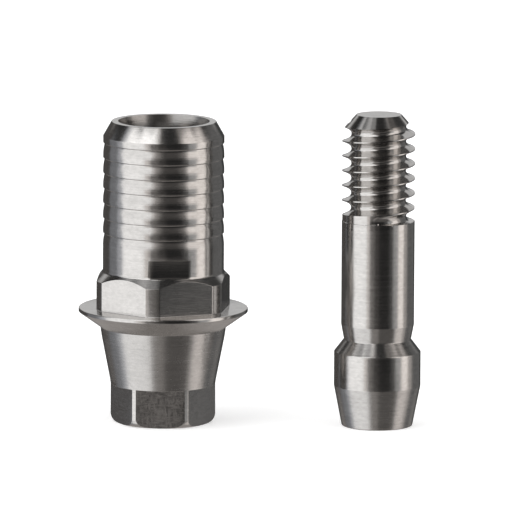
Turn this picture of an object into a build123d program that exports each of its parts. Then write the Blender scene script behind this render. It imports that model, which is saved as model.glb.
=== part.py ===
from build123d import *
import math
import os

# A dental abutment base with its own retaining screw, both turned from titanium.
# The base stands on the bottom face of its implant hexagon, with its bore along Z.
# The screw stands beside it on its head, thread up. Millimetres, front towards -Y.

# Base, heights of its sections from the bottom up
hexagon_height = 1.04
cone_height = 1.31
neck_height = 0.25
flange_underside_height = 0.42
flange_edge_height = 0.10
collar_height = 1.00
chimney_height = 4.06

# Base, chimney that the crown is bonded to
chimney_radius = 1.63
rim_chamfer_width = 0.225
rim_chamfer_height = 0.40
groove_count = 7
groove_pitch = 0.407
groove_depth = 0.035
groove_step = 0.02
groove_floor = 0.04
groove_ramp = 0.26
first_groove_below_rim = 0.57

# Base, shallow flat milled low on the front of the chimney
mark_flat_depth = 0.08
mark_flat_height = 0.49
mark_flat_turn = 6.6

# Base, six-sided collar that stands out from the chimney, and flange that stands out from the collar
collar_width = 0.23
collar_flat_depth = 0.16
collar_turn = 21.6
collar_fillet = 0.05
flange_width = 0.42
flange_edge_round = 0.04

# Base, seating cone and implant hexagon
neck_radius = 1.694
neck_draft = 0.019
neck_step = 0.02
cone_half_angle = 11.0
cone_foot_blend = 1.6
hexagon_flat_distance = 1.25
hexagon_turn = -3.0
hexagon_end_round = 0.20

# Screw in the base: its head lies this far below the rim, its thread reaches this far below the hexagon
head_depth = 2.82
thread_reach = 3.09

# Screw, heights of its sections from the face of its head up
head_taper_height = 1.10
head_cylinder_height = 0.92
shoulder_cone_height = 0.34
waist_cone_height = 0.41
thread_length = 2.72

# Screw, diameters and edges
head_radius = 1.165
head_end_radius = 0.95
head_end_round = 0.05
shoulder_round = 0.04
waist_radius = 0.903
shank_radius = 0.98
tip_bevel_width = 0.37
tip_bevel_height = 0.42
socket_across_flats = 1.25
socket_depth = 1.30
socket_lead = 0.06

# Screw, thread: its depth, root and crest as shares of the pitch give sixty-degree flanks
thread_pitch = 0.40
thread_depth_share = 0.6125
thread_root_share = 0.225
thread_crest_share = 0.068

# Fits between the screw and the base
head_clearance = 0.03
shank_clearance = 0.05
bore_lead = 0.035
bore_lead_height = 0.35

# Where the screw stands: clear width between it and the flange, and how far it is to the front
screw_gap = 2.325
screw_forward = 0.46

# How far cutters reach past the faces that they cut, and how exactly an edge is found
cutter_margin = 1.0
thread_cutter_margin = 0.01
edge_tolerance = 0.001

neck_foot = hexagon_height + cone_height
neck_top = neck_foot + neck_height
flange_edge_foot = neck_top + flange_underside_height
flange_top = flange_edge_foot + flange_edge_height
collar_top = flange_top + collar_height
base_height = collar_top + chimney_height
rim_radius = chimney_radius - rim_chamfer_width
collar_radius = chimney_radius + collar_width
collar_flat_distance = collar_radius - collar_flat_depth
flange_radius = collar_radius + flange_width

shoulder_height = head_taper_height + head_cylinder_height
shoulder_top = shoulder_height + shoulder_cone_height
shank_foot = shoulder_top + waist_cone_height
screw_height = base_height - head_depth + thread_reach
thread_foot = screw_height - thread_length
thread_depth = thread_depth_share * thread_pitch
rod_top = screw_height + 3 * thread_pitch
screw_aside = flange_radius + screw_gap + head_radius

bore_radius = head_radius + head_clearance
shank_bore_radius = shank_radius + shank_clearance
seat_rise = bore_radius - shank_bore_radius
seat_foot = base_height - head_depth - shoulder_height - (head_radius - shank_bore_radius)


def turned(outline):
    """Solid of revolution about Z from an outline drawn as radius and height."""
    return revolve(Plane.XZ * make_face(outline), Axis.Z)


def facing(turn):
    """Unit vector that leaves the axis at this angle to the right of the front."""
    angle = math.radians(turn - 90)
    return Vector(math.cos(angle), math.sin(angle), 0)


def flats_cutter(distance, turn, bottom, top, reach):
    """Ring that leaves a hexagonal prism with its flats at this distance from the axis."""
    height = top - bottom
    section = Circle(reach) - RegularPolygon(distance, 6, major_radius=False, rotation=turn)
    return Pos(0, 0, bottom) * extrude(section, height)


def groove_points(step_height):
    """One retention groove: a sharp step, a narrow floor and a long ramp back out."""
    floor_top = step_height - groove_step
    floor_bottom = floor_top - groove_floor
    return [
        (chimney_radius, step_height),
        (chimney_radius - groove_depth, floor_top),
        (chimney_radius - groove_depth, floor_bottom),
        (chimney_radius, floor_bottom - groove_ramp),
    ]


def base_blank():
    """Turned outside of the base, from the rim down to the implant hexagon."""
    first_step = base_height - first_groove_below_rim
    chimney = [(0, base_height), (rim_radius, base_height)]
    chimney.append((chimney_radius, base_height - rim_chamfer_height))
    for index in range(groove_count):
        chimney += groove_points(first_step - index * groove_pitch)
    chimney.append((chimney_radius, collar_top))
    chimney.append((collar_radius, collar_top - collar_width))
    chimney.append((collar_radius, flange_top))
    chimney.append((flange_radius - flange_edge_round, flange_top))

    edge_top = (flange_radius, flange_top - flange_edge_round)
    edge_foot = (flange_radius, flange_edge_foot)
    neck_foot_radius = neck_radius - neck_draft
    cone_top = (neck_foot_radius - neck_step, neck_foot - neck_step)
    cone_angle = math.radians(cone_half_angle)
    cone_direction = (-math.sin(cone_angle), -math.cos(cone_angle))
    cone_end_radius = cone_top[0] - (cone_top[1] - hexagon_height) * math.tan(cone_angle)
    blend = cone_foot_blend * math.tan(cone_angle / 2)
    blend_top = (cone_end_radius - blend * cone_direction[0], hexagon_height - blend * cone_direction[1])
    blend_foot = (cone_end_radius, hexagon_height - blend)
    below = [edge_top, edge_foot, (neck_radius, neck_top), (neck_foot_radius, neck_foot)]
    below += [cone_top, blend_top]
    foot = [blend_foot, (cone_end_radius, hexagon_end_round)]
    foot_round_end = (cone_end_radius - hexagon_end_round, 0)

    outline = Polyline(*chimney)
    outline += TangentArc(chimney[-1], edge_top, tangent=(1, 0))
    outline += Polyline(*below)
    outline += TangentArc(blend_top, blend_foot, tangent=cone_direction)
    outline += Polyline(*foot)
    outline += TangentArc(foot[-1], foot_round_end, tangent=(0, -1))
    outline += Polyline(foot_round_end, (0, 0), (0, base_height))
    return turned(outline)


def base_bore():
    """Stepped bore: a slight lead at the rim, wide for the head, a conical seat, narrow for the shank."""
    points = [
        (0, -cutter_margin),
        (shank_bore_radius, -cutter_margin),
        (shank_bore_radius, seat_foot),
        (bore_radius, seat_foot + seat_rise),
        (bore_radius, base_height - bore_lead_height),
        (bore_radius + bore_lead, base_height),
        (bore_radius + bore_lead, base_height + cutter_margin),
        (0, base_height + cutter_margin),
    ]
    return turned(Polyline(*points, close=True))


def mark_flat_cutter():
    """Block that mills the shallow flat just above the collar."""
    direction = facing(mark_flat_turn)
    face_distance = chimney_radius - mark_flat_depth
    align = (Align.MIN, Align.CENTER, Align.MIN)
    block = Box(cutter_margin, 3 * chimney_radius, mark_flat_height, align=align)
    corner = direction * face_distance + Vector(0, 0, collar_top)
    return Plane(origin=corner, x_dir=direction, z_dir=(0, 0, 1)) * block


def collar_foot_edges(solid):
    """Edges where the collar stands on the flange."""
    low, high = flange_top - edge_tolerance, flange_top + edge_tolerance
    edges = solid.edges().filter_by_position(Axis.Z, low, high)
    reach = collar_radius + edge_tolerance
    return [edge for edge in edges if math.hypot((edge @ 0.5).X, (edge @ 0.5).Y) < reach]


def make_base():
    solid = base_blank()
    reach = 2 * flange_radius
    solid -= flats_cutter(collar_flat_distance, collar_turn, flange_top, collar_top, reach)
    solid = fillet(collar_foot_edges(solid), collar_fillet)
    solid -= flats_cutter(hexagon_flat_distance, hexagon_turn, -cutter_margin, hexagon_height, reach)
    solid -= mark_flat_cutter()
    solid -= base_bore()
    return solid


def screw_blank():
    """Turned outside of the screw, with its thread end still a plain rod past the tip."""
    taper = (head_radius - head_end_radius) / head_taper_height
    points = [
        (0, 0),
        (head_end_radius - head_end_round, 0),
        (head_end_radius + head_end_round * taper, head_end_round),
        (head_radius, head_taper_height),
        (head_radius, shoulder_height - shoulder_round),
        (head_radius - shoulder_round, shoulder_height + shoulder_round),
        (waist_radius, shoulder_top),
        (shank_radius, shank_foot),
        (shank_radius, rod_top),
        (0, rod_top),
    ]
    return turned(Polyline(*points, close=True))


def thread_groove():
    """Right-handed groove that a sixty-degree cutter leaves between the crests."""
    root_radius = shank_radius - thread_depth
    outer_radius = shank_radius + thread_cutter_margin
    half_root = thread_root_share * thread_pitch / 2
    flank_width = (1 - thread_root_share - thread_crest_share) * thread_pitch / 2
    spread = (outer_radius - root_radius) * flank_width / thread_depth
    section = Polyline(
        (root_radius, -half_root),
        (outer_radius, -half_root - spread),
        (outer_radius, half_root + spread),
        (root_radius, half_root),
        close=True,
    )
    path = Helix(thread_pitch, thread_length + thread_pitch, root_radius)
    groove = sweep(Plane.XZ * make_face(section), path=path, is_frenet=True)
    return Pos(0, 0, thread_foot) * groove


def tip_cutter():
    """Everything outside the bevelled tip, to trim the threaded rod to length."""
    outside = shank_radius + tip_bevel_width
    points = [
        (0, screw_height),
        (shank_radius - tip_bevel_width, screw_height),
        (outside, screw_height - 2 * tip_bevel_height),
        (outside, rod_top + cutter_margin),
        (0, rod_top + cutter_margin),
    ]
    return turned(Polyline(*points, close=True))


def socket():
    """Hexagonal driver socket with a small lead at its mouth."""
    corner_radius = socket_across_flats / 2 / math.cos(math.radians(30))
    recess = extrude(RegularPolygon(corner_radius, 6), socket_depth)
    align = (Align.CENTER, Align.CENTER, Align.MIN)
    lead = Cone(corner_radius + socket_lead, corner_radius, socket_lead, align=align)
    return recess + lead


def make_screw():
    solid = screw_blank() - thread_groove() - tip_cutter() - socket()
    return Pos(screw_aside, -screw_forward, 0) * solid


os.makedirs("parts", exist_ok=True)
export_step(make_base(), "parts/abutment_base.step")
export_step(make_screw(), "parts/retaining_screw.step")
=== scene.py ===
import bmesh
import bpy
import math
from mathutils import Matrix, Vector


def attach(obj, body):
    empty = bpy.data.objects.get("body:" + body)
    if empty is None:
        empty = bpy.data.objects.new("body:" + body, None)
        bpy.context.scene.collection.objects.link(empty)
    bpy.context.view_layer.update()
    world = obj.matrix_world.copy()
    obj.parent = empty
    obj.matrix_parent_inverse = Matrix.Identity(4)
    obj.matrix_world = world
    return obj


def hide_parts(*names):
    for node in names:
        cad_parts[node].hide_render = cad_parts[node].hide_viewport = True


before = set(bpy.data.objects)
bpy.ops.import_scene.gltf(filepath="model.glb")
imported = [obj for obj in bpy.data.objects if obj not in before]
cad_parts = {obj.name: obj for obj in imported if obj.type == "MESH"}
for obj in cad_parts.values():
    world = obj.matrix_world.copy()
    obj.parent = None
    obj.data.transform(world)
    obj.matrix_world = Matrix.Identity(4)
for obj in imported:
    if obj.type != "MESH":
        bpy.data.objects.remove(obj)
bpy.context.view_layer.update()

# A dental abutment base and its own retaining screw. Sizes are in millimetres, with the front towards -Y
# and the bore of the base along Z. Angles on a piece are in degrees to the right of the front.
MM = 0.001

# Base, heights of its sections from the bottom up
hexagon_height = 1.04
cone_height = 1.31
neck_height = 0.25
flange_underside_height = 0.42
flange_edge_height = 0.10
collar_height = 1.00
chimney_height = 4.06

# Base, chimney with its grooves and the shallow flat milled low on its front
chimney_radius = 1.63
rim_chamfer_width = 0.225
rim_chamfer_height = 0.40
groove_count = 7
groove_pitch = 0.407
groove_depth = 0.035
groove_step = 0.02
groove_floor = 0.04
groove_ramp = 0.26
groove_ramp_curve = 1.7
first_groove_below_rim = 0.57
mark_flat_depth = 0.08
mark_flat_height = 0.49
mark_flat_turn = 6.6

# Base, six-sided collar and flange
collar_width = 0.23
collar_flat_depth = 0.16
collar_turn = 21.6
flange_width = 0.42
flange_edge_round = 0.04

# Base, seating cone and implant hexagon
neck_radius = 1.694
neck_draft = 0.019
neck_step = 0.02
cone_angle = math.radians(11)
cone_foot_blend = 1.6
hexagon_flat_distance = 1.25
hexagon_turn = -3.0
hexagon_end_round = 0.20

# Bore of the base
bore_radius = 1.195
bore_lead = 0.035
bore_lead_height = 0.35
shank_bore_radius = 1.03
seat_foot = 3.205

# Screw, heights of its sections from the face of its head up, where its thread begins and where it stands
screw_height = 8.45
head_taper_height = 1.10
head_cylinder_height = 0.92
shoulder_cone_height = 0.34
waist_cone_height = 0.41
thread_foot = 5.73
screw_place = (5.77, -0.46)

# Screw, radii and edges
head_radius = 1.165
head_end_radius = 0.95
head_end_round = 0.05
shoulder_round = 0.04
waist_radius = 0.903
shank_radius = 0.98
tip_bevel_width = 0.37
tip_bevel_height = 0.42
socket_flat_distance = 0.625
socket_depth = 1.30
socket_lead = 0.06
socket_turn = 30

# Screw, thread: its run-out is a share of a turn, and the curve of its grooves is a power
thread_pitch = 0.40
thread_depth = 0.245
thread_crest_width = 0.027
thread_curve = 2.4
thread_run_out = 0.3

# Screw, shallow relief round the foot of the thread, which fades out between two heights above it
relief_foot = 5.567
relief_depth = 0.012
relief_fade_start = 0.15
relief_fade_end = 0.25

# Small rounds on turned and milled edges, and the least height of the sharp edge at the hexagon's end
edge_wear = 0.010
corner_blend = 0.003
mark_edge_wear = 0.03
mark_blend = 0.03
collar_foot_round = 0.02
chimney_foot_round = 0.12
neck_blend = 1.5
least_foot_edge = 0.004

# Flats: half the angle that one of six takes up, and how far from its normal one is still followed
half_facet_angle = 30
widest_flat_angle = 80

# How rounds are drawn: the share of an edge that one may take, and edges and corners too slight for one
round_share = 0.45
shortest_edge = 1e-6
nearly_straight = math.radians(89.5)

# How finely the base is meshed: degrees between columns, finer steps round each corner of its flats
angle_step = 1.5
corner_steps = (-0.7, -0.3, -0.12, 0.0, 0.12, 0.3, 0.7)
corner_clearance = 0.35
ledge_corner_radius = 1.407
arc_steps = 4
ramp_steps = 5
blend_steps = 5
end_round_steps = 7

# How finely the screw is meshed, where its first turn begins, and how many turns its mesh starts below it
screw_columns = 240
screw_first_angle = 90
groove_steps = 15
thread_mesh_lead = 1.5

# Points closer than this, in metres, are one point, and edges bent further than this stay sharp
merge_distance = 2e-8
sharp_angle = math.radians(20)

# Heights and radii that follow from the sizes above
neck_foot = hexagon_height + cone_height
neck_top = neck_foot + neck_height
flange_edge_foot = neck_top + flange_underside_height
flange_top = flange_edge_foot + flange_edge_height
collar_top = flange_top + collar_height
base_height = collar_top + chimney_height
rim_radius = chimney_radius - rim_chamfer_width
mark_flat_distance = chimney_radius - mark_flat_depth
collar_radius = chimney_radius + collar_width
collar_flat_distance = collar_radius - collar_flat_depth
flange_radius = collar_radius + flange_width
seat_top = seat_foot + bore_radius - shank_bore_radius

cone_top = neck_foot - neck_step
cone_top_radius = neck_radius - neck_draft - neck_step
cone_end_radius = cone_top_radius - (cone_top - hexagon_height) * math.tan(cone_angle)
cone_blend_reach = cone_foot_blend * math.tan(cone_angle / 2)
cone_blend_centre = cone_end_radius + cone_foot_blend
ledge_radius = cone_blend_centre - math.sqrt(cone_foot_blend ** 2 - cone_blend_reach ** 2)
end_round_centre = cone_end_radius - hexagon_end_round

shoulder_height = head_taper_height + head_cylinder_height
shoulder_top = shoulder_height + shoulder_cone_height
shank_foot = shoulder_top + waist_cone_height
thread_mesh_foot = thread_foot - thread_mesh_lead * thread_pitch
tip_radius = shank_radius - tip_bevel_width


def fillet(before, corner, after, radius, steps):
    """Points of an arc that rounds one corner of an outline drawn as radius and height."""
    to_before = Vector(before) - Vector(corner)
    to_after = Vector(after) - Vector(corner)
    reach = min(to_before.length, to_after.length) * round_share
    if radius <= 0 or reach < shortest_edge:
        return [tuple(corner)] * (steps + 1)
    to_before.normalize()
    to_after.normalize()
    half = to_before.angle(to_after) / 2
    if half > nearly_straight:
        return [tuple(corner)] * (steps + 1)
    setback = min(radius / math.tan(half), reach)
    start = Vector(corner) + to_before * setback
    end = Vector(corner) + to_after * setback
    points = []
    for index in range(steps + 1):
        part = index / steps
        first = start.lerp(Vector(corner), part)
        second = Vector(corner).lerp(end, part)
        points.append(tuple(first.lerp(second, part)))
    return points


def rounded(outline, closed):
    """Rounds an outline of (radius, height, edge round, finish) entries into mesh points."""
    points = []
    count = len(outline)
    for index, (radius, height, edge, finish) in enumerate(outline):
        inner = closed or 0 < index < count - 1
        if not inner or edge is None:
            points.append((radius, height, finish))
            continue
        before = outline[index - 1][:2]
        after = outline[(index + 1) % count][:2]
        for point in fillet(before, (radius, height), after, edge, arc_steps):
            points.append((point[0], point[1], finish))
    return points


def nearest_flat(angle, turn, count):
    """Angle from this direction to the nearest flat's normal."""
    pitch = 360 / count
    return abs((angle - turn + pitch / 2) % pitch - pitch / 2)


def flat_radius(angle, turn, distance, count=6):
    """Distance from the axis to a flat, seen along this angle."""
    away = math.radians(min(nearest_flat(angle, turn, count), widest_flat_angle))
    return distance / math.cos(away)


def limited(radius, flat, reach=corner_blend):
    """Radius left by a flat, with a slight round where the flat meets the turned face."""
    blend = max(reach - abs(radius - flat), 0) / reach
    return min(radius, flat) - blend * blend * reach / 4


def corner_angles(radius, turn, distance, count=6):
    """Angles at which the flats run out on a turned face of this radius."""
    half = math.degrees(math.acos(distance / radius))
    return [turn + side * half + index * 360 / count for index in range(count) for side in (-1, 1)]


def angle_list(corners):
    """Evenly spread angles with finer steps round each corner."""
    angles = [index * angle_step for index in range(round(360 / angle_step))]
    for corner in corners:
        near = [(corner + offset) % 360 for offset in corner_steps]
        angles = [angle for angle in angles if min(abs(angle - other) for other in near) > corner_clearance]
        angles += near
    return sorted(angles)


def spot(radius, height, angle, centre):
    """Point in metres at this angle round an upright axis."""
    turn = math.radians(angle - 90)
    x = centre[0] + radius * math.cos(turn)
    y = centre[1] + radius * math.sin(turn)
    return (x * MM, y * MM, height * MM)


def skin(name, columns, angles, centre, finishes, closed, joined):
    """Mesh object from one column of (radius, height, finish) points for each angle.

    In a closed column the last point joins the first. Joined columns go all the way round. Where they
    aren't joined, the last column lies on the first, and the points that they share become one.
    """
    rows = len(columns[0])
    count = len(columns)
    vertices = []
    for column, angle in zip(columns, angles):
        vertices += [spot(radius, height, angle, centre) for radius, height, finish in column]
    faces = []
    slots = []
    for index in range(count if joined else count - 1):
        here = index * rows
        there = (index + 1) % count * rows
        for row in range(rows if closed else rows - 1):
            above = (row + 1) % rows
            faces.append((here + row, there + row, there + above, here + above))
            slots.append(finishes.index(columns[index][row][2]))
    mesh = bpy.data.meshes.new(name)
    mesh.from_pydata(vertices, [], faces)
    mesh.polygons.foreach_set("material_index", slots)
    work = bmesh.new()
    work.from_mesh(mesh)
    bmesh.ops.remove_doubles(work, verts=work.verts, dist=merge_distance)
    bmesh.ops.dissolve_degenerate(work, edges=work.edges, dist=merge_distance / 2)
    bmesh.ops.recalc_face_normals(work, faces=work.faces)
    for face in work.faces:
        face.smooth = True
    for edge in work.edges:
        edge.smooth = len(edge.link_faces) == 2 and edge.calc_face_angle(0) < sharp_angle
    work.to_mesh(mesh)
    work.free()
    piece = bpy.data.objects.new(name, mesh)
    bpy.context.scene.collection.objects.link(piece)
    return piece


def groove_entries():
    """Retention grooves down the chimney: a sharp step, a narrow floor and a curved ramp back out."""
    entries = []
    for index in range(groove_count):
        step = base_height - first_groove_below_rim - index * groove_pitch
        floor_top = step - groove_step
        floor_bottom = floor_top - groove_floor
        entries.append((chimney_radius, step, edge_wear, "turned"))
        entries.append((chimney_radius - groove_depth, floor_top, edge_wear, "turned"))
        for point in range(ramp_steps + 1):
            part = point / ramp_steps
            radius = chimney_radius - groove_depth * (1 - part) ** groove_ramp_curve
            entries.append((radius, floor_bottom - groove_ramp * part, None, "turned"))
    return entries


def collar_entries(angle):
    """Foot of the chimney with its shallow flat, then the collar's bevel and facet, and the flange."""
    mark = limited(chimney_radius, flat_radius(angle, mark_flat_turn, mark_flat_distance, 1), mark_blend)
    mark_top = collar_top + mark_flat_height
    mark_finish = "milled" if mark < chimney_radius else "turned"
    facet = flat_radius(angle, collar_turn, collar_flat_distance)
    collar = limited(collar_radius, facet)
    collar_finish = "milled" if facet < collar_radius else "turned"
    bevel_foot = collar_top - (collar - chimney_radius)
    entries = [
        (chimney_radius, mark_top, mark_edge_wear, mark_finish),
        (mark, mark_top, edge_wear / 2, mark_finish),
    ]
    wall = (chimney_radius, mark_top)
    corner = (chimney_radius, collar_top)
    for radius, height in fillet(wall, corner, (collar, bevel_foot), chimney_foot_round, 2 * arc_steps):
        cut = chimney_radius - mark if height >= collar_top else 0
        entries.append((radius - cut, height, None, "turned"))
    entries += [
        (collar, bevel_foot, edge_wear, collar_finish),
        (collar, flange_top, collar_foot_round, "turned"),
        (flange_radius, flange_top, flange_edge_round, "turned"),
        (flange_radius, flange_edge_foot, edge_wear, "satin"),
    ]
    return entries


def cone_entries():
    """Neck, seating cone and the hollow blend that runs out at the ledge above the hexagon."""
    cone_radius_at_neck = cone_top_radius + neck_step * math.tan(cone_angle)
    entries = [
        (neck_radius, neck_top, 2 * edge_wear, "satin"),
        (cone_radius_at_neck, neck_foot, neck_blend, "satin"),
    ]
    for index in range(blend_steps + 1):
        turn = cone_angle * (1 - index / blend_steps)
        height = hexagon_height - cone_blend_reach + cone_foot_blend * math.sin(turn)
        if height < hexagon_height:
            break
        entries.append((cone_blend_centre - cone_foot_blend * math.cos(turn), height, None, "satin"))
    return entries


def foot_entries(angle):
    """Ledge, implant hexagon and the round at its end. The front facet is etched."""
    flat = flat_radius(angle, hexagon_turn, hexagon_flat_distance)
    foot = limited(ledge_radius, flat)
    front = nearest_flat(angle, hexagon_turn, 1) < half_facet_angle and flat < ledge_radius
    reach = min(max(foot - end_round_centre, 0), hexagon_end_round)
    round_top = hexagon_end_round - math.sqrt(hexagon_end_round ** 2 - reach ** 2)
    entries = [
        (ledge_radius, hexagon_height, edge_wear, "milled"),
        (foot, hexagon_height, edge_wear, "etched" if front else "hexagon"),
        (foot, max(round_top, least_foot_edge), edge_wear, "turned"),
    ]
    start = math.asin(reach / hexagon_end_round)
    for index in range(1, end_round_steps + 1):
        turn = start * (1 - index / end_round_steps)
        radius = end_round_centre + hexagon_end_round * math.sin(turn)
        entries.append((radius, hexagon_end_round * (1 - math.cos(turn)), None, "turned"))
    return entries


def base_column(angle):
    """Closed outline of the base at one angle, from the rim down the outside and back up the bore."""
    rim = [
        (bore_radius + bore_lead, base_height, edge_wear, "turned"),
        (rim_radius, base_height, edge_wear, "turned"),
        (chimney_radius, base_height - rim_chamfer_height, edge_wear, "turned"),
    ]
    bore = [
        (shank_bore_radius, 0, edge_wear, "bore"),
        (shank_bore_radius, seat_foot, edge_wear, "bore"),
        (bore_radius, seat_top, edge_wear, "bore"),
        (bore_radius, base_height - bore_lead_height, edge_wear, "bore"),
    ]
    outside = groove_entries() + collar_entries(angle) + cone_entries() + foot_entries(angle)
    return rounded(rim + outside + bore, True)


def make_base():
    """Base, meshed column by column round its axis."""
    corners = corner_angles(collar_radius, collar_turn, collar_flat_distance)
    corners += corner_angles(ledge_corner_radius, hexagon_turn, hexagon_flat_distance)
    corners += corner_angles(chimney_radius, mark_flat_turn, mark_flat_distance, 1)
    angles = angle_list(corners)
    columns = [base_column(angle) for angle in angles]
    finishes = ["turned", "milled", "satin", "hexagon", "etched", "bore"]
    return skin("base_body", columns, angles, (0, 0), finishes, closed=True, joined=True)


def thread_points(turn_part):
    """Thread outline at this part of a turn: rounded grooves from the run-out to past the tip."""
    points = []
    half_groove = (thread_pitch - thread_crest_width) / 2
    turns = math.ceil((screw_height - thread_foot) / thread_pitch) + 1
    for index in range(-1, turns + 1):
        turn = index + turn_part
        centre = thread_foot + turn * thread_pitch
        cut = min(max((turn + thread_run_out) / thread_run_out, 0), 1)
        for step in range(groove_steps + 1):
            part = 2 * step / groove_steps - 1
            depth = thread_depth * cut * (1 - abs(part) ** thread_curve)
            points.append((shank_radius - depth, centre + part * half_groove))
    return points


def relieved(points):
    """Thread points with a shallow relief, which begins at one sharp edge all round the shank."""
    first = next(index for index, (radius, height) in enumerate(points) if height > relief_foot)
    kept = []
    for index, (radius, height) in enumerate(points):
        if index < first - 1:
            kept.append((shank_radius, height))
        elif index == first - 1:
            kept.append((shank_radius, relief_foot))
        elif index == first:
            kept.append((shank_radius - relief_depth, relief_foot + relief_depth))
        else:
            fade = (height - thread_foot - relief_fade_start) / (relief_fade_end - relief_fade_start)
            limit = shank_radius - relief_depth * (1 - min(max(fade, 0), 1))
            kept.append((min(radius, limit), max(height, relief_foot + 2 * relief_depth)))
    return kept


def tip_limit(height):
    """Radius of the tip's bevel at this height."""
    return tip_radius + (screw_height - height) * tip_bevel_width / tip_bevel_height


def trimmed(points):
    """Thread points kept inside the tip's bevel, with the nearest one moved onto each crossing."""
    gaps = [radius - tip_limit(height) for radius, height in points]
    moved = list(points)
    for index in range(len(points) - 1):
        first, second = gaps[index], gaps[index + 1]
        if (first > 0) == (second > 0):
            continue
        part = first / (first - second)
        crossing = tuple(Vector(points[index]).lerp(Vector(points[index + 1]), part))
        moved[index if part < 0.5 else index + 1] = crossing
    kept = []
    for radius, height in moved:
        height = min(max(height, thread_mesh_foot), screw_height)
        kept.append((max(min(radius, tip_limit(height)), tip_radius), height))
    return kept


def screw_column(turn_part, angle):
    """Outline of the screw from the middle of the socket out, up the outside and in over the tip."""
    socket = flat_radius(angle, socket_turn, socket_flat_distance)
    socket_corner = socket_flat_distance / math.cos(math.radians(half_facet_angle))
    outline = [
        (0, socket_depth, None, "bore"),
        (socket, socket_depth, None, "bore"),
        (socket, socket_lead, None, "bore"),
        (socket_corner, socket_lead, None, "turned"),
        (socket_corner + socket_lead, 0, edge_wear, "turned"),
        (head_end_radius, 0, head_end_round, "satin"),
        (head_radius, head_taper_height, edge_wear, "head"),
        (head_radius, shoulder_height, shoulder_round, "turned"),
        (waist_radius, shoulder_top, 2 * edge_wear, "turned"),
        (shank_radius, shank_foot, edge_wear, "turned"),
        (shank_radius, thread_mesh_foot, None, "turned"),
    ]
    column = rounded(outline, False)
    thread = trimmed(relieved(thread_points(turn_part)))
    column += [(radius, height, "thread") for radius, height in thread]
    column.append((tip_radius, screw_height, "turned"))
    column.append((0, screw_height, "turned"))
    return column


def make_screw():
    """Screw, meshed column by column, each one rising with the thread."""
    angles = [screw_first_angle + index * 360 / screw_columns for index in range(screw_columns + 1)]
    columns = [screw_column(index / screw_columns, angle) for index, angle in enumerate(angles)]
    finishes = ["turned", "satin", "head", "thread", "bore"]
    return skin("screw_body", columns, angles, screw_place, finishes, closed=False, joined=False)


class Nodes:
    """Short way to build the node tree of a material or a world."""

    def __init__(self, owner):
        owner.use_nodes = True
        self.owner = owner
        self.tree = owner.node_tree
        self.tree.nodes.clear()

    def add(self, kind, **values):
        node = self.tree.nodes.new(kind)
        for key, value in values.items():
            setattr(node, key, value)
        return node

    def link(self, source, target):
        self.tree.links.new(source, target)

    def math(self, operation, first, second=0):
        node = self.add("ShaderNodeMath", operation=operation)
        for socket, value in zip(node.inputs, (first, second)):
            if isinstance(value, (int, float)):
                socket.default_value = value
            else:
                self.link(value, socket)
        return node.outputs[0]

    def weighted(self, sources, weights):
        """Sum of these sources, each times its weight."""
        total = self.math("MULTIPLY", sources[0], weights[0])
        for source, weight in zip(sources[1:], weights[1:]):
            total = self.math("ADD", total, self.math("MULTIPLY", source, weight))
        return total

    def ramp(self, source, low, high, low_value, high_value):
        node = self.add("ShaderNodeMapRange")
        self.link(source, node.inputs["Value"])
        node.inputs["From Min"].default_value = low
        node.inputs["From Max"].default_value = high
        node.inputs["To Min"].default_value = low_value
        node.inputs["To Max"].default_value = high_value
        return node.outputs["Result"]

    def scaled(self, vector, scale):
        node = self.add("ShaderNodeVectorMath", operation="MULTIPLY")
        self.link(vector, node.inputs[0])
        node.inputs[1].default_value = scale
        return node.outputs[0]

    def noise(self, vector, scale, detail):
        node = self.add("ShaderNodeTexNoise")
        node.inputs["Scale"].default_value = scale
        node.inputs["Detail"].default_value = detail
        self.link(vector, node.inputs["Vector"])
        return node.outputs["Fac"]

    def bump(self, height, strength, depth, normal=None):
        node = self.add("ShaderNodeBump")
        node.inputs["Strength"].default_value = strength
        node.inputs["Distance"].default_value = depth * MM
        self.link(height, node.inputs["Height"])
        if normal is not None:
            self.link(normal, node.inputs["Normal"])
        return node.outputs[0]

    def seen_directly(self):
        """One for camera, glossy and transmission rays, which see white, and zero for the others."""
        paths = self.add("ShaderNodeLightPath")
        seen = self.math("MAXIMUM", paths.outputs["Is Camera Ray"], paths.outputs["Is Glossy Ray"])
        return self.math("MAXIMUM", seen, paths.outputs["Is Transmission Ray"])


# Titanium: how fine its stains, blotches and hatching are, what each mark adds to its colour and
# roughness, and how deep lines and specks are in millimetres
stain_scale = 1500.0
blotch_scale = (7000, 7000, 14000)
upright_hatch_scale = (18000, 18000, 6000)
level_hatch_scale = (5000, 5000, 20000)
tint_weights = (0.3, 0.3, 0.4)
rough_weights = (0.5, 0.5)
darkest_tint = 0.88
lightest_tint = 1.10
tint_range = (0.35, 0.65)
rough_range = (0.3, 0.7)
line_depth = 0.004
speck_depth = 0.006


def tool_lines(nodes, place, centre, stretch):
    """Noise drawn out round an axis. stretch is its scale round, away from and along the axis."""
    from_axis = nodes.add("ShaderNodeVectorMath", operation="SUBTRACT")
    nodes.link(place, from_axis.inputs[0])
    from_axis.inputs[1].default_value = (centre[0] * MM, centre[1] * MM, 0)
    parts = nodes.add("ShaderNodeSeparateXYZ")
    nodes.link(from_axis.outputs[0], parts.inputs[0])
    x, y, z = parts.outputs
    reach_squared = nodes.math("ADD", nodes.math("MULTIPLY", x, x), nodes.math("MULTIPLY", y, y))
    measures = (nodes.math("ARCTAN2", y, x), nodes.math("SQRT", reach_squared), z)
    marks = nodes.add("ShaderNodeCombineXYZ")
    for measure, scale, socket in zip(measures, stretch, marks.inputs):
        nodes.link(nodes.math("MULTIPLY", measure, scale), socket)
    return nodes.noise(marks.outputs[0], scale=1.0, detail=4.0)


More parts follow.
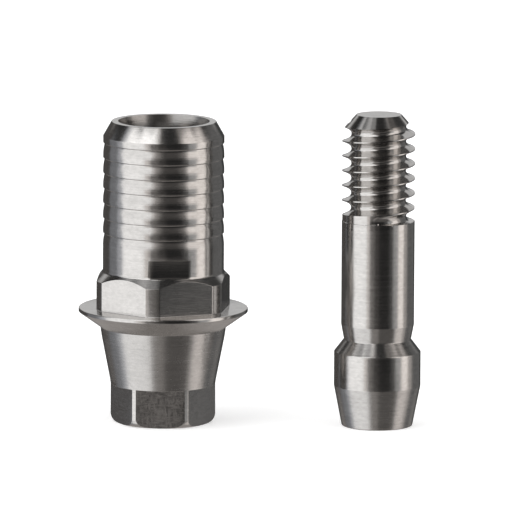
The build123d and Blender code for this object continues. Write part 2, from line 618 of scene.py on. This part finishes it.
def metal(name, color, roughness, spread, centre, stretch, grain, bump, hatch=0.0):
    """Titanium with tool lines round an axis, stains, blotches and specks.

    spread is how far its roughness varies, grain how fine the specks are, bump the strength of lines and
    specks, and hatch how far crossed bright and dark strokes change its colour.
    """
    nodes = Nodes(bpy.data.materials.new(name))
    place = nodes.add("ShaderNodeTexCoord").outputs["Object"]
    lines = tool_lines(nodes, place, centre, stretch)
    specks = nodes.noise(place, scale=grain, detail=5.0)
    if hatch:
        upright = nodes.noise(nodes.scaled(place, upright_hatch_scale), scale=1.0, detail=1.0)
        level = nodes.noise(nodes.scaled(place, level_hatch_scale), scale=1.0, detail=1.0)
        mixed = nodes.math("MAXIMUM", upright, level)
    else:
        stains = nodes.noise(place, scale=stain_scale, detail=3.0)
        blotches = nodes.noise(nodes.scaled(place, blotch_scale), scale=1.0, detail=3.0)
        mixed = nodes.weighted((stains, lines, blotches), tint_weights)
    tint = nodes.add("ShaderNodeMix", data_type="RGBA")
    dark = [channel * (darkest_tint - hatch) for channel in color]
    light = [min(channel * (lightest_tint + hatch), 1) for channel in color]
    tint.inputs[6].default_value = (*dark, 1)
    tint.inputs[7].default_value = (*light, 1)
    nodes.link(nodes.ramp(mixed, *tint_range, 0, 1), tint.inputs[0])
    rough = nodes.weighted((lines, specks), rough_weights)

    shader = nodes.add("ShaderNodeBsdfPrincipled")
    shader.inputs["Metallic"].default_value = 1.0
    nodes.link(tint.outputs[2], shader.inputs["Base Color"])
    rough_level = nodes.ramp(rough, *rough_range, roughness - spread, roughness + spread)
    nodes.link(rough_level, shader.inputs["Roughness"])
    line_bump = nodes.bump(lines, bump[0], line_depth)
    nodes.link(nodes.bump(specks, bump[1], speck_depth, line_bump), shader.inputs["Normal"])
    output = nodes.add("ShaderNodeOutputMaterial")
    nodes.link(shader.outputs[0], output.inputs[0])
    return nodes.owner


def dress(piece, node, finishes):
    """Gives a piece its finishes, in the order of its mesh, hides its CAD node and hangs the piece under the
    root body.
    """
    for finish in finishes:
        piece.data.materials.append(finish)
    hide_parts(node)
    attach(piece, "root")


# Metals. The darker titanium is the etched facet's own tone, and on the bore's walls it is painted shade:
# darker colour standing in for the shade inside the bore
titanium = (0.60, 0.585, 0.57)
etched_tone_and_bore_shade = (0.40, 0.39, 0.38)
base_axis = (0, 0)
ring_marks = (0.6, 30000, 30000)
dress(make_base(), "abutment_base", [
    metal("base_turned", titanium, 0.17, 0.05, base_axis, ring_marks, 20000, (0.25, 0.05)),
    metal("base_milled", titanium, 0.16, 0.05, base_axis, (2, 4000, 42000), 30000, (0.3, 0.12)),
    metal("base_satin", titanium, 0.24, 0.05, base_axis, ring_marks, 24000, (0.35, 0.05)),
    metal("base_hexagon", titanium, 0.20, 0.05, base_axis, ring_marks, 24000, (0.2, 0.06)),
    metal("base_etched", etched_tone_and_bore_shade, 0.22, 0.05, base_axis, ring_marks, 16000, (0.2, 0.15), 0.25),
    # Bore: painted shade, its darker colour stands in for the shade inside the bore
    metal("base_bore_painted_shade", etched_tone_and_bore_shade, 0.20, 0.05, base_axis, ring_marks, 20000, (0.3, 0.05)),
])
dress(make_screw(), "retaining_screw", [
    metal("screw_turned", titanium, 0.19, 0.05, screw_place, ring_marks, 20000, (0.2, 0.03)),
    metal("screw_taper", titanium, 0.23, 0.05, screw_place, ring_marks, 24000, (0.3, 0.04)),
    metal("screw_head", titanium, 0.20, 0.05, screw_place, ring_marks, 22000, (0.3, 0.10)),
    metal("screw_thread", titanium, 0.14, 0.04, screw_place, (1, 16000, 16000), 20000, (0.15, 0.04)),
    metal("screw_socket", titanium, 0.32, 0.06, screw_place, (2, 8000, 20000), 20000, (0.4, 0.2)),
])

# Reflection tent, a dome of light and dark studio cards round the set, which only the metal sees. Directions
# are in degrees: by compass from the camera's side, counted to the right, and by elevation.
tent_radius = 300
tent_angle_step = 1
tent_elevation_step = 2
warm = (1.05, 0.99, 0.95)
cool = (0.96, 0.99, 1.06)
plain = (1.0, 1.0, 1.0)

# Cards at eye level: where each begins, its brightness and its tint
side_cards = [
    (-180, 0.06, plain),
    (-160, 0.08, warm),
    (-124, 0.24, cool),
    (-98, 0.50, cool),
    (-84, 1.30, plain),
    (-36, 0.75, warm),
    (-26, 0.16, warm),
    (-10, 0.05, warm),
    (4, 0.02, plain),
    (37, 0.08, plain),
    (49, 0.42, plain),
    (67, 1.15, warm),
    (88, 0.42, warm),
    (104, 0.15, plain),
    (150, 0.05, plain),
]
side_card_blend = 5.0

# Cards above and below eye level, each over the ones before: from and to by compass, from and to by
# elevation, width of the soft edge, brightness and tint
cards = [
    (-24, -14, 5, 90, 6, 0.60, warm),
    (-14, -7, 5, 90, 5, 0.34, warm),
    (-7, 0, 5, 90, 5, 0.17, warm),
    (0, 29, 5, 90, 6, 0.075, warm),
    (29, 37, 5, 90, 6, 0.15, warm),
    (37, 46, 5, 90, 6, 0.24, warm),
    (-88, -21, 2, 34, 8, 1.20, plain),
    (46, 88, 2, 34, 8, 1.05, warm),
    (-88, -16, 34, 60, 14, 1.75, plain),
    (-4, 37, 34, 90, 10, 0.03, plain),
    (44, 96, 34, 60, 12, 1.15, warm),
    (-92, -56, 46, 66, 8, 0.28, plain),
    (-56, -25, 54, 66, 8, 0.30, plain),
    (40, 82, 49, 66, 8, 0.14, warm),
    (74, 112, 41, 66, 8, 0.12, warm),
    (-134, -97, 22, 48, 8, 0.035, plain),
    (-104, -83, 44, 60, 8, 0.04, plain),
    (101, 142, 30, 56, 8, 0.05, plain),
    (-190, 190, 66, 100, 10, 0.03, plain),
    (-60, -25, 64, 80, 8, 0.30, plain),
    (-96, -60, 64, 80, 8, 0.60, plain),
    (-172, -98, 52, 80, 8, 0.95, plain),
    (112, 165, 54, 76, 8, 0.80, plain),
    (165, 195, 4, 50, 6, 0.62, plain),
    (140, 220, 17, 50, 6, 0.60, plain),
    (-84, -22, -50, -16, 12, 1.05, plain),
    (-22, 6, -50, -16, 10, 0.27, warm),
    (6, 60, -50, -16, 10, 0.11, warm),
    (62, 92, -50, -16, 10, 0.75, warm),
    (-190, 190, -100, -50, 12, 0.34, warm),
    (130, 230, -60, -20, 12, 0.38, warm),
]


def tinted(level, tint):
    """Colour of a card with this brightness and tint."""
    return tuple(level * channel for channel in tint)


def mix_colors(first, second, part):
    return tuple(one + (other - one) * part for one, other in zip(first, second))


def side_color(angle):
    """Brightness of the tent at eye level, with each card's edge blended into the next."""
    colors = [(start, tinted(level, tint)) for start, level, tint in side_cards]
    for index, (start, color) in enumerate(colors):
        end = colors[index + 1][0] if index + 1 < len(colors) else 180
        if not start <= angle <= end:
            continue
        before = colors[index - 1][1]
        after = colors[(index + 1) % len(colors)][1]
        if angle < start + side_card_blend / 2:
            return mix_colors(before, color, 0.5 + (angle - start) / side_card_blend)
        if angle > end - side_card_blend / 2:
            return mix_colors(color, after, 0.5 - (end - angle) / side_card_blend)
        return color


def tent_color(angle, elevation):
    """Brightness of the tent in one direction, with every card laid over the eye-level ones."""
    color = side_color(angle)
    for start, end, low, high, soft, level, tint in cards:
        aside = abs((angle - (start + end) / 2 + 180) % 360 - 180)
        across = min(max(((end - start) / 2 - aside) / soft + 0.5, 0), 1)
        along = min(max(min(elevation - low, high - elevation) / soft + 0.5, 0), 1)
        color = mix_colors(color, tinted(level, tint), across * along)
    return color


def card_light():
    """Light whose brightness is stored on the mesh."""
    nodes = Nodes(bpy.data.materials.new("studio_cards"))
    level = nodes.add("ShaderNodeAttribute", attribute_name="brightness")
    light = nodes.add("ShaderNodeEmission")
    nodes.link(level.outputs["Color"], light.inputs["Color"])
    output = nodes.add("ShaderNodeOutputMaterial")
    nodes.link(light.outputs[0], output.inputs[0])
    return nodes.owner


def make_tent():
    """Dome all round the set, with the cards' brightness stored on its points."""
    angles = range(-180, 180, tent_angle_step)
    elevations = range(-90, 91, tent_elevation_step)
    vertices = []
    colors = []
    for angle in angles:
        for elevation in elevations:
            turn = math.radians(elevation)
            vertices.append(spot(tent_radius * math.cos(turn), tent_radius * math.sin(turn), angle, (0, 0)))
            colors.append(tent_color(angle, elevation) + (1,))
    rows = len(elevations)
    count = len(angles)
    faces = []
    for index in range(count):
        here = index * rows
        there = (index + 1) % count * rows
        for row in range(rows - 1):
            faces.append((here + row, there + row, there + row + 1, here + row + 1))
    mesh = bpy.data.meshes.new("studio_tent")
    mesh.from_pydata(vertices, [], faces)
    layer = mesh.color_attributes.new("brightness", "FLOAT_COLOR", "POINT")
    for index, color in enumerate(colors):
        layer.data[index].color = color
    mesh.materials.append(card_light())
    tent = bpy.data.objects.new("studio_tent", mesh)
    bpy.context.scene.collection.objects.link(tent)
    tent.visible_camera = False
    tent.visible_diffuse = False
    tent.visible_shadow = False
    return tent


# Pale floor that takes the shadow, its half width in metres, its paper and how far it glows where it is seen
floor_reach = 3.0
floor_paper = (0.85, 0.85, 0.85, 1)
floor_glow = 0.45
white = (1, 1, 1, 1)


def floor_white():
    """Pale paper, lifted to white for the rays that see it directly."""
    nodes = Nodes(bpy.data.materials.new("floor_white"))
    paper = nodes.add("ShaderNodeBsdfDiffuse")
    paper.inputs["Color"].default_value = floor_paper
    shine = nodes.add("ShaderNodeEmission")
    shine.inputs["Color"].default_value = white
    nodes.link(nodes.math("MULTIPLY", nodes.seen_directly(), floor_glow), shine.inputs["Strength"])
    both = nodes.add("ShaderNodeAddShader")
    nodes.link(paper.outputs[0], both.inputs[0])
    nodes.link(shine.outputs[0], both.inputs[1])
    output = nodes.add("ShaderNodeOutputMaterial")
    nodes.link(both.outputs[0], output.inputs[0])
    return nodes.owner


def make_floor():
    """Square floor, which the metal does not reflect."""
    corners = [(-1, -1), (1, -1), (1, 1), (-1, 1)]
    mesh = bpy.data.meshes.new("floor")
    mesh.from_pydata([(x * floor_reach, y * floor_reach, 0) for x, y in corners], [], [(0, 1, 2, 3)])
    mesh.materials.append(floor_white())
    floor = bpy.data.objects.new("floor", mesh)
    bpy.context.scene.collection.objects.link(floor)
    floor.visible_glossy = False
    return floor


make_tent()
make_floor()

# Lamps, in metres and watts, all aimed at the middle of the set
lamp_target = Vector((0.0029, 0, 0.004))


def lamp(name, place, size, power):
    """Soft overhead lamp that the metal doesn't reflect, because the tent shows it its softboxes."""
    data = bpy.data.lights.new(name, "AREA")
    data.shape = "DISK"
    data.size = size
    data.energy = power
    item = bpy.data.objects.new(name, data)
    item.location = place
    aim = lamp_target - Vector(place)
    item.rotation_euler = aim.to_track_quat("-Z", "Y").to_euler()
    item.visible_glossy = False
    bpy.context.scene.collection.objects.link(item)


lamp("key_lamp", (-0.35, -0.25, 0.55), 0.6, 1.7)
lamp("fill_lamp", (0.45, -0.20, 0.50), 0.6, 1.1)
lamp("top_lamp", (0.0, 0.15, 0.70), 0.8, 1.5)

# World, white where it is seen directly and a weaker light on everything else
world_light = 0.40


def make_world():
    """Even light from all round, white where it is seen directly."""
    nodes = Nodes(bpy.data.worlds.new("studio"))
    background = nodes.add("ShaderNodeBackground")
    background.inputs["Color"].default_value = white
    nodes.link(nodes.ramp(nodes.seen_directly(), 0, 1, world_light, 1), background.inputs["Strength"])
    output = nodes.add("ShaderNodeOutputWorld")
    nodes.link(background.outputs[0], output.inputs[0])
    return nodes.owner


bpy.context.scene.world = make_world()

# Camera at the photograph's viewing angle, with a very long lens: millimetres, but metres for clipping
camera_distance = 260.0
camera_elevation = math.radians(9.0)
camera_roll = math.radians(0.29)
picture_width = 512
pixels_per_mm = 37.05
base_foot_pixel = (162.85, 420.8)
sensor_width = 36.0
clip_range = (0.01, 20.0)


def make_camera():
    """Camera that shows the middle of the base's bottom face at base_foot_pixel."""
    side = Vector((1, 0, 0))
    rise = Vector((0, math.sin(camera_elevation), math.cos(camera_elevation)))
    look = Vector((0, math.cos(camera_elevation), -math.sin(camera_elevation)))
    picture_right = math.cos(camera_roll) * side + math.sin(camera_roll) * rise
    picture_up = math.cos(camera_roll) * rise - math.sin(camera_roll) * side
    foot_right = (base_foot_pixel[0] - picture_width / 2) / pixels_per_mm
    foot_up = (picture_width / 2 - base_foot_pixel[1]) / pixels_per_mm
    aim_point = -foot_right * picture_right - foot_up * picture_up
    location = (aim_point - camera_distance * look) * MM
    data = bpy.data.cameras.new("camera")
    data.sensor_width = sensor_width
    data.lens = pixels_per_mm * camera_distance * sensor_width / picture_width
    data.clip_start, data.clip_end = clip_range
    camera = bpy.data.objects.new("camera", data)
    camera.matrix_world = Matrix((
        (picture_right.x, picture_up.x, -look.x, location.x),
        (picture_right.y, picture_up.y, -look.y, location.y),
        (picture_right.z, picture_up.z, -look.z, location.z),
        (0, 0, 0, 1),
    ))
    bpy.context.scene.collection.objects.link(camera)
    return camera


bpy.context.scene.camera = make_camera()
bpy.context.scene.view_settings.view_transform = "Standard"
